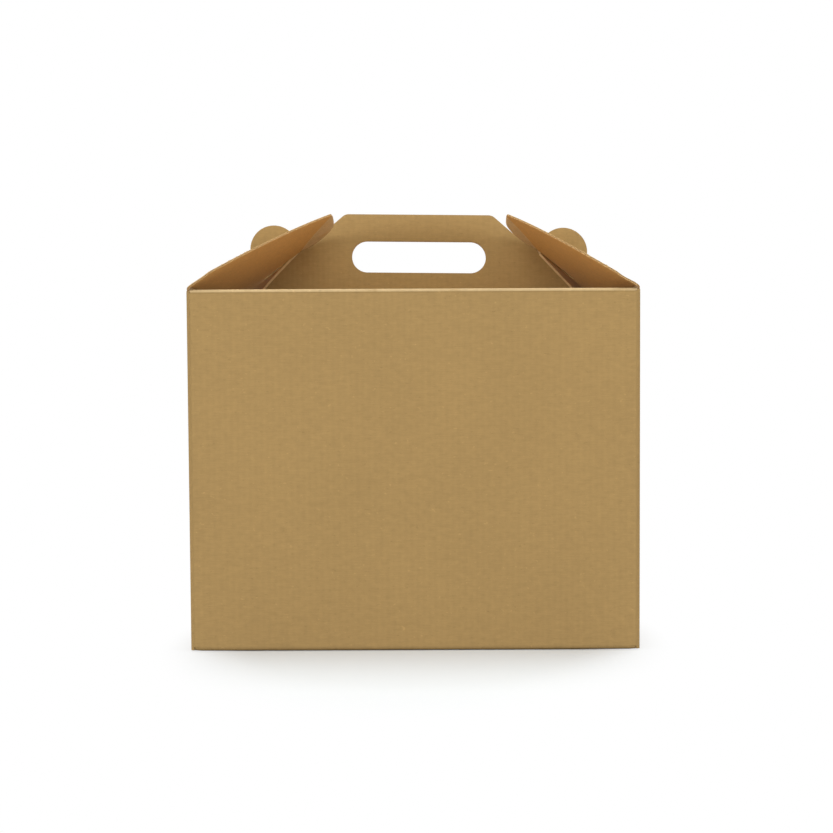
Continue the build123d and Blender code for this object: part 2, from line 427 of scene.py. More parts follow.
class Board:
    """A mesh of corrugated board, put together from flat sheets that are bent into place."""

    def __init__(self):
        self.co, self.sheet, self.crease, self.faces, self.kinds = [], [], [], [], []
        self.count = 0

    def add(self, co, sheet, crease):
        """New points, and the number of the first of them."""
        first = self.count
        self.co.append(np.asarray(co, float))
        self.sheet.append(np.asarray(sheet, float))
        self.crease.append(np.asarray(crease, float))
        self.count += len(co)
        return first

    def face(self, corners, kind):
        """A face of one kind."""
        self.faces.append([int(c) for c in corners])
        self.kinds.append(kind)

    def panel(self, outline, holes, lines, place, crease, offset, is_seam=nowhere,
              is_slit=nowhere, inner_crease=None):
        """A flat piece of board, bent by place(u, v, t). u runs across the flutes and v along them.

        lines are the straight lines, each a pair of end points, along which the mesh has edges.
        crease and inner_crease give the marks of its two faces. is_seam and is_slit tell where the
        sheet goes on past the border, and where its edge is in a slit too narrow to show flutes.
        """
        loops = [fine_outline(loop) for loop in [outline, *holes]]
        edges, first = [], 0
        for loop in loops:
            n = len(loop)
            edges += [(first + i, first + (i + 1) % n) for i in range(n)]
            first += n
        border = np.concatenate(loops)
        low, high = border.min(0), border.max(0)
        ends = np.array(lines, float).reshape(-1, 2)
        edges += [(first + 2 * i, first + 2 * i + 1) for i in range(len(lines))]
        on_lines = [np.zeros((0, 2))]
        for p, q in ends.reshape(-1, 2, 2):
            n = max(2, math.ceil(np.hypot(*(q - p)) / LONG_STEP))
            on_lines.append(p + (q - p) * (np.arange(1, n) / n)[:, None])
        on_lines = np.concatenate(on_lines)
        on_lines = clear_of(on_lines[inside(on_lines, loops)], border, LINE_CLEAR)
        grid = np.stack(np.meshgrid(np.arange(low[0] + GRID / 2, high[0], GRID),
                                    np.arange(low[1] + GRID / 2, high[1], GRID)), -1).reshape(-1, 2)
        grid = grid[inside(grid, loops)]
        grid = clear_of(clear_of(grid, border, GRID_CLEAR[0]), on_lines, GRID_CLEAR[1])
        beside = np.concatenate([inset(loop, loops) for loop in loops])
        beside = clear_of(beside, on_lines, PRESSED_CLEAR)
        flat = np.concatenate([border, ends, on_lines, grid, beside])
        made = delaunay_2d_cdt([Vector(p) for p in flat], edges, [], 0, 1e-5, False)
        verts = np.array([tuple(v) for v in made[0]])
        triangles = np.array([tuple(f) for f in made[2]])
        triangles = triangles[inside(verts[triangles].mean(1), loops)]
        used = np.unique(triangles)
        renumber = np.full(len(verts), -1)
        renumber[used] = np.arange(len(used))
        verts, triangles = verts[used], renumber[triangles]
        u, v = verts[:, 0], verts[:, 1]
        rim, seam = cut_border(triangles, verts, is_seam)
        half = np.full(len(u), BOARD / 2)
        half[np.setdiff1d(rim, seam).astype(int)] -= PRESSED
        marks = crease(u, v)
        shift = np.array([offset[0], offset[1], 0.0])
        outer = self.add(place(u, v, half), np.stack([u, v, half], -1) + shift, marks)
        inner_marks = marks if inner_crease is None else inner_crease(u, v)
        inner = self.add(place(u, v, -half), np.stack([u, v, -half], -1) + shift, inner_marks)
        for a, b, c in triangles:
            self.face((outer + a, outer + b, outer + c), OUTSIDE)
            self.face((inner + c, inner + b, inner + a), INSIDE)
        slit = [(a, b) for a, b in rim if is_slit((verts[a] + verts[b]) / 2)]
        for a, b in slit:
            self.face((outer + a, inner + a, inner + b, outer + b), OUTSIDE)
        rim = sorted(set(rim) - set(slit))
        self.rim(verts, rim, outer, inner, place, marks, shift, half)
        return verts

    def rim(self, verts, border, outer, inner, place, marks, shift, halves):
        """The cut edge along a border: both liners, and between them the wave and its hollows."""
        outward = np.zeros_like(verts)
        for a, b in border:
            along = unit(verts[b] - verts[a])
            normal = np.array([along[1], -along[0]])
            outward[a] += normal
            outward[b] += normal
        column = {}
        for i in np.unique(border):
            u, v = verts[i]
            ceiling = halves[i] - LINER * halves[i] / (BOARD / 2)
            normal = unit(outward[i]) if np.hypot(*outward[i]) > 1e-6 else np.array([0.0, 1.0])
            swing = ceiling - MEDIUM / 2 - WAVE_ROOM
            wave = swing * math.sin(2 * math.pi * (u + shift[0]) / PITCH)
            heights = [ceiling, wave + MEDIUM / 2, wave - MEDIUM / 2, -ceiling]
            into = -CUT_DEPTH * np.array([CUT_ACROSS * normal[0], normal[1]])
            edge = place(np.full(4, u), np.full(4, v), np.array(heights))
            deep = place(np.full(4, u + into[0]), np.full(4, v + into[1]), np.array(heights))
            at_edge = [(u, v, h) for h in heights]
            at_depth = [(u + into[0], v + into[1], h) for h in heights]
            first = self.add(np.concatenate([edge, deep]), np.array(at_edge + at_depth) + shift,
                             np.full(8, marks[i]))
            column[i] = [outer + i, *range(first, first + 4),
                         inner + i, *range(first + 4, first + 8)]
        # Each column: outer corner, four heights at the edge, inner corner, the same heights inside
        strips = [(0, 1, CUT), (1, 6, HOLLOW), (6, 7, HOLLOW), (7, 2, HOLLOW), (2, 3, CUT),
                  (3, 8, HOLLOW), (8, 9, HOLLOW), (9, 4, HOLLOW), (4, 5, CUT)]
        for a, b in border:
            p, q = column[a], column[b]
            for top, bottom, kind in strips:
                self.face((p[top], p[bottom], q[bottom], q[top]), kind)

    def build(self, name, shape=None):
        """The Blender object, in metres. shape(points) bends it a last time."""
        co = np.concatenate(self.co)
        sheet = np.concatenate(self.sheet)
        if shape is not None:
            co = shape(co)
        mesh = bpy.data.meshes.new(name)
        mesh.from_pydata((co * MM).tolist(), [], self.faces)
        mesh.polygons.foreach_set("material_index", self.kinds)
        mesh.polygons.foreach_set("use_smooth", [True] * len(mesh.polygons))
        flat = mesh.attributes.new("sheet", "FLOAT_VECTOR", "POINT")
        flat.data.foreach_set("vector", (sheet * MM).astype(np.float32).ravel())
        # The marks that the shaders paint as paler crease paper, painted highlight and painted
        # shade
        mark = mesh.attributes.new("crease", "FLOAT", "POINT")
        mark.data.foreach_set("value", np.concatenate(self.crease).astype(np.float32))
        for material in BOARD_MATERIALS:
            mesh.materials.append(material)
        piece = bpy.data.objects.new(name, mesh)
        link(piece)
        weld(mesh)
        mesh.set_sharp_from_angle(angle=math.radians(40))
        return piece


def weld(mesh):
    """Joins points that sheets share, and drops faces that have no area."""
    bm = bmesh.new()
    bm.from_mesh(mesh)
    bmesh.ops.remove_doubles(bm, verts=bm.verts, dist=0.5e-6)
    bmesh.ops.dissolve_degenerate(bm, dist=1e-7, edges=bm.edges)
    bm.to_mesh(mesh)
    bm.free()


def turned(section, quarter):
    """place() for a section whose outer face looks to the front, turned about the upright axis."""
    turn = quarter * math.pi / 2
    c, sn = math.cos(turn), math.sin(turn)

    def place(u, v, t):
        x = np.asarray(u, float)
        y, z = section.place(v, t).T
        return np.stack([c * x - sn * y, sn * x + c * y, z], -1)

    return place


def mirrored(points):
    """A closed outline from the points of its right half."""
    return [tuple(p) for p in points] + [(-p[0], *p[1:]) for p in reversed(points)]


def across(rows, half):
    """Lines straight across a panel at the given v, reaching past its sides."""
    return [((-half - 1, v), (half + 1, v)) for v in rows]


def leaf_corners(half, reach, climb):
    """Outer face of a bottom leaf and its fold, from the leaf's tip to the wall's foot."""
    foot = (-half, 0.0)
    if not climb:
        return [(-half + reach, 0.0), foot], []
    start = FOLD_OUTER + BOARD
    ramp = [(-half + start + LEAF_RAMP, climb), (-half + start, 0.0)]
    return [(-half + reach, climb), *ramp, foot], [RAMP_ROUND, RAMP_ROUND]


def leaf_v(section, half, wall_leg):
    """v on the leaf at a distance from the wall's outer face."""
    table = np.linspace(0, section.at(wall_leg, FOLD_OUTER), LEAF_TABLE)
    reach = section.place(table, 0.0)[:, 0] + half
    return lambda d: float(np.interp(-d, -reach, table))


def wall_side(v_of_z, half):
    """Points of a wall's right side, from its foot to the top of the rounded upright fold."""
    side = half - FOLD_OUTER
    return [(side, v_of_z(FOLD_OUTER)), (side, v_of_z(WALL - FOLD_OUTER))]


def ear_points(v_of_height):
    """Right side of the handle, from its foot up the slanted side and round the ear to the top."""
    centre = np.array([EAR_HALF, EAR_HEIGHT])
    hook = np.array([HOOK_HALF, HOOK_HEIGHT])
    under = np.array([math.cos(FLAP_ANGLE), -math.sin(FLAP_ANGLE)])
    step = hook + HOOK_STEP * np.array([-under[1], under[0]])
    to_hook = step - centre
    along = to_hook @ under
    cut = step + under * (-along + math.sqrt(along ** 2 - to_hook @ to_hook + EAR_RADIUS ** 2))
    shoulder = np.array([SHOULDER_HALF, SHOULDER_HEIGHT])
    neck = unit(np.array([EAR_HALF, NECK_HEIGHT]) - shoulder)
    up = np.array([-neck[1], neck[0]])
    above = (centre - shoulder) @ up
    beside = (centre - shoulder) @ neck
    reach = math.sqrt((EAR_RADIUS + NECK_ROUND) ** 2 - (NECK_ROUND - above) ** 2)
    fillet = shoulder + neck * (beside - reach) + up * NECK_ROUND
    meet = centre + (fillet - centre) * EAR_RADIUS / (EAR_RADIUS + NECK_ROUND)
    disc = arc_points(centre, EAR_RADIUS, bearing(cut - centre), bearing(meet - centre))
    notch = arc_points(fillet, NECK_ROUND, bearing(meet - fillet), bearing(-up))[1:]
    points = [(FOOT_HALF, ROOF_RISE + FOLD_OUTER), tuple(hook), tuple(step), *disc, *notch,
              (SHOULDER_HALF, SHOULDER_HEIGHT, NECK_ROUND),
              (HANDLE_TOP_HALF, HANDLE_HEIGHT - HANDLE_TRIM, HANDLE_CORNER)]
    return [(p[0], v_of_height(p[1]), *p[2:]) for p in points]


def hand_hole(v_of_height):
    """Outline of the hand hole."""
    middle = HOLE_HALF_LENGTH - HOLE_RADIUS
    v = v_of_height(HOLE_HEIGHT)
    right = arc_points((middle, v), HOLE_RADIUS, -math.pi / 2, math.pi / 2)
    return right + [(-x, y) for x, y in reversed(right)]


def slanted_sides(v_of_height):
    """Foot of the handle's right slanted side, its direction, its length and the way inward."""
    foot = np.array([FOOT_HALF, v_of_height(ROOF_RISE + FOLD_OUTER)])
    along = np.array([HOOK_HALF, v_of_height(HOOK_HEIGHT)]) - foot
    length = np.hypot(*along)
    along = along / length
    return foot, along, length, np.array([-along[1], along[0]])


def panel_marks(section, half, low, high, v_of_height=None):
    """Crease marks for a panel with a wall between the upright folds, from v low to v high, and a
    painted highlight along the handle's slanted sides.
    """
    def marks(u, v):
        mark = section.crease(v)
        # Folds low on the panel get only the painted shade of a crease, no highlight
        mark = np.where(v < (low + high) / 2, np.minimum(mark, CORNER_SHADE_MARK), mark)
        if v_of_height is not None:
            # A painted highlight along the handle's slanted sides
            foot, along, length, into = slanted_sides(v_of_height)
            from_foot = np.stack([np.abs(u), v], -1) - foot
            deep, up = from_foot @ into, from_foot @ along
            near = (up > -SLANT_END) & (up < length + SLANT_END) & (deep > -SLANT_END)
            fade = (deep - SLANT_LINES[0]) / (SLANT_LINES[1] - SLANT_LINES[0])
            mark = np.maximum(mark, np.where(near, SLANT_HIGHLIGHT * np.clip(1 - fade, 0, 1), 0))
        on_wall = (v > low - 1) & (v < high + 1)
        beside = fading(half - FOLD_OUTER - np.abs(u))
        # Painted shade on the walls beside the upright folds
        return np.maximum(mark, np.where(on_wall, beside * CORNER_SHADE_MARK, 0))
    return marks


def wall_lines(section, half, v_of_z):
    """Lines across all the folds, and upright ones beside a wall's two corners."""
    low, high = v_of_z(FOLD_OUTER), v_of_z(WALL - FOLD_OUTER)
    rows = [v for v in section.fold_rows() if v < low + SAME or v > high + SAME]
    rows += [low + g for g in BESIDE] + [high - g for g in BESIDE]
    side = half - FOLD_OUTER
    upright = [((s * (side - gap), low + UPRIGHT_END), (s * (side - gap), high - UPRIGHT_END))
               for s in (-1, 1) for gap in BESIDE]
    return across(rows, half) + upright


def seams(half, v_low, v_high, root=None):
    """True on the borders where a panel goes on into an upright fold or into its tongue."""
    side = half - FOLD_OUTER

    def is_seam(point):
        u, v = point
        if abs(abs(u) - side) < SAME and v_low - SAME < v < v_high + SAME:
            return True
        return root is not None and abs(v - root) < SAME and abs(u) < TONGUE_HALF
    return is_seam


def big_panel(board, quarter, climb, number):
    """Front or back: bottom leaf, wall, roof and its ply of the handle, all one strip of board."""
    corners, radii = leaf_corners(HALF_DEPTH, BIG_LEAF, climb)
    wall_leg = len(corners) - 1
    corners += [(-HALF_DEPTH, WALL), (-HANDLE_FRONT, WALL + ROOF_RISE), (-HANDLE_FRONT, TOP)]
    section = Section(corners, radii + [FOLD_OUTER, FOLD_OUTER, FOLD_INNER])
    on_leaf = leaf_v(section, HALF_DEPTH, wall_leg)

    def v_of_z(z):
        return section.at(wall_leg, z)

    def v_of_height(h):
        return section.at(wall_leg + 2, h - ROOF_RISE)

    roof_end = HALF_WIDTH - CORNER_RELIEF
    # From the strip's end, its spans are the handle, its fold, the roof and the top crease
    handle_fold = section.spans[-2][0]
    crease_end = section.spans[-4][0] + section.spans[-4][1]
    start = HALF_WIDTH - LEAF_RELIEF
    inner = TONGUE_HALF + TONGUE_SLACK
    tip = HALF_WIDTH - LEAF_RELIEF - LEAF_MITRE - LEAF_TAPER
    if climb:
        cut_back, leaf_round, root = BIG_LEAF - RECESS_DEPTH, LEAF_CORNER / 2, None
        leaf = [(inner, on_leaf(cut_back), leaf_round), (inner, on_leaf(BIG_LEAF), leaf_round)]
    else:
        cut_back, leaf_round = BIG_LEAF - TONGUE_SLIT, LEAF_CORNER
        root = on_leaf(cut_back)
        leaf = [(TONGUE_HALF, root), (inner, root), (inner, on_leaf(BIG_LEAF))]
    leaf += [
        (tip, on_leaf(BIG_LEAF), leaf_round),
        (start - LEAF_MITRE, on_leaf(FOLD_OUTER + LEAF_MITRE)),
        (start, on_leaf(FOLD_OUTER)),
        (start, v_of_z(FOLD_OUTER)),
    ]
    side = wall_side(v_of_z, HALF_WIDTH)
    roof = [(roof_end, side[-1][1]), (roof_end, crease_end), (FOOT_HALF, handle_fold)]
    outline = rounded(mirrored(leaf + side + roof + ear_points(v_of_height)))
    place = turned(section, quarter)
    marks = panel_marks(section, HALF_WIDTH, side[0][1], side[1][1], v_of_height)
    offset = (number * PANEL_STEP, 0.0)
    foot, along, length, into = slanted_sides(v_of_height)
    lines = wall_lines(section, HALF_WIDTH, v_of_z)
    for depth in SLANT_LINES:
        p = foot + into * depth + along * SLANT_END
        q = foot + into * depth + along * (length - SLANT_END)
        lines += [(tuple(p), tuple(q)), ((-p[0], p[1]), (-q[0], q[1]))]
    verts = board.panel(outline, [hand_hole(v_of_height)], lines, place, marks, offset,
                        seams(HALF_WIDTH, side[0][1], side[1][1], root))
    if root is not None:
        tongue(board, quarter, offset)
    at_fold = np.abs(verts[:, 0] - HALF_WIDTH + FOLD_OUTER) < SAME
    heights = verts[at_fold & (verts[:, 1] > side[0][1] - SAME)
                    & (verts[:, 1] < side[1][1] + SAME), 1]
    return np.unique(np.round(heights - section.at(wall_leg, 0.0), 4))


def tongue(board, quarter, offset):
    """The front leaf's tongue, which climbs over the back leaf."""
    root = -HALF_DEPTH + BIG_LEAF - TONGUE_SLIT
    climb = 3 * LAYER
    corners = [(root + TONGUE_SLIT + TONGUE_REACH, climb), (root + TONGUE_SLIT, climb), (root, 0.0),
               (root - LEAF_CORNER, 0.0)]
    section = Section(corners, [RAMP_ROUND, RAMP_ROUND])
    end = section.at(2, 0.0)
    outline = rounded(mirrored([(TONGUE_HALF, end), (TONGUE_HALF, 0.0, 2 * LEAF_CORNER)]))
    board.panel(outline, [], across(section.fold_rows(), TONGUE_HALF), turned(section, quarter),
                lambda u, v: section.crease(v), (offset[0], offset[1] - TONGUE_STEP),
                lambda point: abs(point[1] - end) < SAME)


def side_panel(board, quarter, number):
    """Left or right: bottom leaf and wall, up to the crease of the side flap."""
    corners, radii = leaf_corners(HALF_WIDTH, SIDE_LEAF, LAYER)
    wall_leg = len(corners) - 1
    corners += [(-HALF_WIDTH, PIVOT_Z - HINGE_REACH)]
    section = Section(corners, radii + [FOLD_OUTER])
    on_leaf = leaf_v(section, HALF_WIDTH, wall_leg)

    def v_of_z(z):
        return section.at(wall_leg, z)

    start = HALF_DEPTH - LEAF_RELIEF
    side = wall_side(v_of_z, HALF_DEPTH)
    right = [
        (start - LEAF_MITRE - SIDE_LEAF_TAPER, on_leaf(SIDE_LEAF), LEAF_CORNER),
        (start - LEAF_MITRE, on_leaf(FOLD_OUTER + LEAF_MITRE)),
        (start, on_leaf(FOLD_OUTER)),
        (start, v_of_z(FOLD_OUTER)),
        *side,
        (HALF_DEPTH - FOLD_OUTER, section.length),
    ]
    board.panel(rounded(mirrored(right)), [], wall_lines(section, HALF_DEPTH, v_of_z),
                turned(section, quarter), panel_marks(section, HALF_DEPTH, side[0][1], side[1][1]),
                (number * PANEL_STEP, 0.0), seams(HALF_DEPTH, side[0][1], side[1][1]))


def upright_fold(board, quarter, heights, offset):
    """A rounded corner of the walls, between the two panels that it joins."""
    turn = quarter * math.pi / 2
    spin = np.array([[math.cos(turn), -math.sin(turn)], [math.sin(turn), math.cos(turn)]])
    angles = np.linspace(-math.pi / 2, 0, FOLD_STEPS + 1)
    first = []
    for radius, half in ((FOLD_OUTER, BOARD / 2), (FOLD_INNER, -BOARD / 2)):
        co, sheet = [], []
        for a in angles:
            x = HALF_WIDTH - FOLD_OUTER + radius * math.cos(a)
            y = -HALF_DEPTH + FOLD_OUTER + radius * math.sin(a)
            at = spin @ np.array([x, y])
            along = HALF_WIDTH - FOLD_OUTER + (FOLD_INNER + BOARD / 2) * (a + math.pi / 2)
            co += [(at[0], at[1], z) for z in heights]
            sheet += [(along + offset, z, half) for z in heights]
        # The rounded corners are painted a little darker: painted shade
        first.append(board.add(co, sheet, np.full(len(co), CORNER_SHADE_MARK)))
    outer, inner = first
    n = len(heights)
    for i in range(FOLD_STEPS):
        for k in range(n - 1):
            a, b = i * n + k, (i + 1) * n + k
            board.face((outer + a, outer + b, outer + b + 1, outer + a + 1), OUTSIDE)
            board.face((inner + a + 1, inner + b + 1, inner + b, inner + a), INSIDE)
        for k, flip in ((0, False), (n - 1, True)):
            a, b = i * n + k, (i + 1) * n + k
            ring = [outer + a, inner + a, inner + b, outer + b]
            board.face(ring[::-1] if flip else ring, CUT)


def glue_flap(board):
    """The sheet's glued end, lapped inside the right wall at the back corner."""
    low = 4 * LAYER + GLUE_FLAP_SHORT
    high = WALL - FOLD_OUTER - GLUE_FLAP_SHORT
    first = HALF_DEPTH - BOARD - GLUE_FLAP_WIDTH
    last = HALF_DEPTH - BOARD

    def place(u, v, t):
        return np.stack([HALF_WIDTH - 1.5 * BOARD + t, u, v], -1)

    outline = [(first, low), (last, low), (last, high), (first, high)]
    board.panel(outline, [], [], place, lambda u, v: 0 * u, (GLUE_FLAP_AT, 0.0))


def settle(co):
    """The walls' small bulge, the roof's sag and the handle's lean, as a folded box has them."""
    x, y, z = co.T
    rise = np.clip((z - FOLD_OUTER) / (WALL - 2 * FOLD_OUTER), 0, 1)
    out = WALL_BULGE * np.sin(math.pi * rise) ** BULGE_POWER
    edge_x = np.clip(1 - (x / (HALF_WIDTH - FOLD_OUTER)) ** 2, 0, 1)
    edge_y = np.clip(1 - (y / (HALF_DEPTH - FOLD_OUTER)) ** 2, 0, 1)
    wall = z < WALL - FOLD_OUTER
    front = wall & (z > FOLD_OUTER) & (np.abs(y) > HALF_DEPTH - 2 * FOLD_OUTER)
    side = wall & (z > FOLD_OUTER) & (np.abs(x) > HALF_WIDTH - 2 * FOLD_OUTER)
    y = y + np.where(front, np.sign(y) * out * edge_x, 0)
    x = x + np.where(side, np.sign(x) * out * edge_y, 0)
    depth = np.clip((HALF_DEPTH - np.abs(y)) / HALF_DEPTH, 0, 1)
    roof = (z > WALL - FOLD_OUTER) & (z < WALL + ROOF_RISE + FOLD_OUTER)
    sag = ROOF_SAG * np.sin(math.pi * depth) ** 2 * np.clip(1 - (x / FOOT_HALF) ** 2, 0, 1)
    z = z - np.where(roof, sag, 0)
    foot = WALL + ROOF_RISE + FOLD_OUTER
    z = z - math.tan(HANDLE_TILT) * x * smooth(z, foot, foot + TILT_FADE)
    return np.stack([x, y, z], -1)


def box_body():
    """The folded sheet without its side flaps."""
    board = Board()
    heights = big_panel(board, 0, 0.0, 0)
    side_panel(board, 1, 1)
    big_panel(board, 2, 2 * LAYER, 2)
    side_panel(board, 3, 3)
    heights = [CORNER_FOOT, *heights, WALL - CORNER_HEAD]
    for quarter in range(4):
        upright_fold(board, quarter, heights, quarter * PANEL_STEP)
    glue_flap(board)
    piece = board.build("box_board", shape=settle)
    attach(piece, "box")
    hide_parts("body")


# The crease of the lip at u above nought, as (v, u) in the flap's plane: its start, direction and
# length, and the way across it to the lip's edge
LIP_FIRST = np.array([LIP_START, HANDLE_FRONT])
LIP_ALONG = np.array([FLAP_LENGTH, FLAP_END_HALF]) - LIP_FIRST
LIP_CREASE = np.hypot(*LIP_ALONG)
LIP_ALONG = LIP_ALONG / LIP_CREASE
LIP_AWAY = np.array([LIP_ALONG[1], -LIP_ALONG[0]])


def beyond_lip_crease(u, v):
    """How far points of a side flap lie beyond its lips' creases, and how far along them."""
    from_first = np.stack([v - LIP_FIRST[0], np.abs(u) - LIP_FIRST[1]], -1)
    along = from_first @ LIP_ALONG
    bow = LIP_BOW * np.sin(math.pi * np.clip(along / LIP_CREASE, 0, 1))
    return from_first @ LIP_AWAY + bow, along


def flap_place(side):
    """place() for a side flap. v counts from its crease, and its lips are pressed down."""
    ahead = np.array([math.cos(FLAP_ANGLE) * -side, 0.0, math.sin(FLAP_ANGLE)])
    normal = np.array([math.sin(FLAP_ANGLE) * side, 0.0, math.cos(FLAP_ANGLE)])
    over = np.array([0.0, float(side), 0.0])
    pivot = np.array([PIVOT_SIDE * side, 0.0, PIVOT_Z])

    def place(u, v, t):
        u, v, t = (np.asarray(a, float) for a in np.broadcast_arrays(u, v, t))
        beyond, _ = beyond_lip_crease(u, v)
        on_lip = np.maximum(beyond, 0)
        drop = LIP_DROP * on_lip ** LIP_POWER / (LIP_FADE + on_lip)
        sink, rise = FLAP_SETTLE[side]
        drop = drop + sink * smooth(v, *SINK_SPAN) - rise * smooth(v, *RISE_SPAN)
        return pivot + u[:, None] * over + v[:, None] * ahead + (t - drop)[:, None] * normal

    return place


def lip_lines():
    """Lines along the lips' creases and beside them, on both sides."""
    lines = []
    stations = np.linspace(-LIP_PAST, LIP_CREASE + LIP_PAST, LIP_STATIONS)
    bow = LIP_BOW * np.sin(math.pi * np.clip(stations / LIP_CREASE, 0, 1))
    for gap in LIP_GAPS:
        line = [LIP_FIRST + LIP_ALONG * s + LIP_AWAY * (gap - b) for s, b in zip(stations, bow)]
        for p, q in zip(line, line[1:]):
            lines += [((p[1], p[0]), (q[1], q[0])), ((-p[1], p[0]), (-q[1], q[0]))]
    return lines


def lip_marks(strength):
    """Marks of the lips' painted light, strongest at their creases, and of the flap's own crease.
    """
    def marks(u, v):
        beyond, along = beyond_lip_crease(u, v)
        on_lip = np.where(along > -LIP_OPEN, np.clip(1 + beyond / LIP_EDGE, 0, 1), 0)
        near_crease = np.exp(-np.maximum(beyond, 0) / LIP_LIGHT_FALLOFF)
        lip = on_lip * (strength + LIP_CREASE_MARK * near_crease)
        return np.maximum(lip, fading(v - HINGE_REACH))
    return marks


def side_flap(side, name):
    """A side flap with its open slot and its two pressed lips."""
    reach = FLAP_LENGTH - (RIGHT_SHORT if side > 0 else 0)
    first, last = np.array([FLAP_PARALLEL, FLAP_HALF]), np.array([reach, FLAP_END_HALF])
    chord = last - first
    span = np.hypot(*chord)
    radius = (span ** 2 / 4 + FLAP_BULGE ** 2) / (2 * FLAP_BULGE)
    outward = unit(np.array([-chord[1], chord[0]]))
    centre = first + chord / 2 + outward * (FLAP_BULGE - radius)
    arc = arc_points(centre, radius, bearing(first - centre), bearing(last - centre))
    slanted = [(u, v) for v, u in arc]
    right = [
        (FLAP_HALF, HINGE_REACH),
        *slanted[:-1],
        (*slanted[-1], FLAP_CORNER),
        (SLOT_HALF, reach - MOUTH_SLANT, MOUTH_ROUND),
        (SLOT_HALF, SLOT_START),
    ]
    board = Board()
    lines = lip_lines() + across([HINGE_REACH + gap for gap in FLAP_BESIDE], FLAP_HALF)
    outside, inside_marks = (lip_marks(strength) for strength in LIP_MARKS)
    board.panel(rounded(mirrored(right)), [], lines, flap_place(side), outside,
                (FLAP_AT + SIDE_STEP * side, 0.0), inner_crease=inside_marks,
                is_slit=lambda point: abs(point[0]) < SLOT_HALF + SAME)
    piece = board.build(name + "_board")
    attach(piece, name.replace("_side", ""))
    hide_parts(name)


def flap_crease(side, name):
    """The bend between a side wall and its flap, which follows both."""
    pivot = np.array([-PIVOT_SIDE, PIVOT_Z])
    ahead = np.array([math.cos(FLAP_ANGLE), math.sin(FLAP_ANGLE)])
    wall_out = np.array([-1.0, 0.0])
    flap_out = np.array([-ahead[1], ahead[0]])
    corner = pivot + BOARD / 2 * (wall_out + flap_out) / (1 + wall_out @ flap_out)
    start = (-HALF_WIDTH, PIVOT_Z - HINGE_REACH)
    end = pivot + ahead * HINGE_REACH + flap_out * BOARD / 2
    section = Section([start, tuple(corner), tuple(end)], [FOLD_OUTER])
    rows = list(np.linspace(0, section.length, CREASE_STEPS + 1)[1:-1])
    rows = sorted(set(section.fold_rows() + rows))
    right = [(HALF_DEPTH - FOLD_OUTER, 0.0), (FLAP_HALF, section.length)]
    board = Board()
    place = turned(section, 1 if side > 0 else 3)
    # Its whole strip has the full crease mark: paler paper, partly whitened fibres and partly a
    # painted highlight
    board.panel(mirrored(right), [], across(rows, FLAP_HALF), place, lambda u, v: 0 * v + 1,
                (CREASE_AT + SIDE_STEP * side, 0.0))
    piece = board.build(name + "_crease")
    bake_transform(piece)


def linear(*rgb):
    """A colour given as it looks on the screen, 0 to 255."""
    return [((c / 255 + 0.055) / 1.055) ** 2.4 for c in rgb]


class Shader:
    """The nodes of a material or of the world, put together one by one."""

    def __init__(self, owner):
        self.owner = owner
        owner.use_nodes = True
        self.tree = owner.node_tree
        self.tree.nodes.clear()

    def put(self, socket, value):
        """Links an output to a socket, or sets a constant on it."""
        if hasattr(value, "is_output"):
            self.tree.links.new(value, socket)
        elif socket.type == "RGBA":
            socket.default_value = [*value[:3], 1.0]
        else:
            socket.default_value = value

    def finish(self, surface, kind="ShaderNodeOutputMaterial"):
        """Ends the tree with its surface."""
        self.node(kind, {"Surface": surface}, None)
        return self.owner

    def node(self, kind, inputs, output=0, **settings):
        """A new node's output, with its inputs given by name or number."""
        node = self.tree.nodes.new(kind)
        for name, value in settings.items():
            setattr(node, name, value)
        for key, value in inputs.items():
            self.put(node.inputs[key], value)
        return None if output is None else node.outputs[output]

    def math(self, operation, a, b=0.0, clamp=False):
        """A sum, product or other operation on two values."""
        return self.node("ShaderNodeMath", {0: a, 1: b}, operation=operation, use_clamp=clamp)

    def total(self, value, parts):
        """The value with each of the parts added in its amount."""
        for part, amount in parts:
            value = self.math("ADD", value, self.math("MULTIPLY", part, amount))
        return value

    def band(self, value, low, high):
        """Nought to one while the value goes from low to high, level at both ends."""
        return self.node("ShaderNodeMapRange", {"Value": value, "From Min": low, "From Max": high},
                         interpolation_type="SMOOTHSTEP")

    def noise(self, vector, stretch, detail, roughness=0.5):
        """Noise with features of about 1 / stretch metres each way, centred on nought."""
        scaled = self.node("ShaderNodeVectorMath", {0: vector, 1: stretch}, operation="MULTIPLY")
        value = self.node("ShaderNodeTexNoise", {"Vector": scaled, "Scale": 1.0, "Detail": detail,
                                                 "Roughness": roughness})
        return self.math("SUBTRACT", value, 0.5)

    def paper(self, colour, factor, height, depth, rough, gloss):
        """The material as paper: a colour times a factor, and a fine relief of the given depth."""
        colour = self.node("ShaderNodeVectorMath", {0: colour, 3: factor}, operation="SCALE")
        normal = self.node("ShaderNodeBump", {"Height": height, "Distance": depth, "Strength": 1.0})
        return self.finish(self.node("ShaderNodeBsdfPrincipled", {
            "Base Color": colour, "Roughness": rough, "Specular IOR Level": gloss,
            "Normal": normal}))


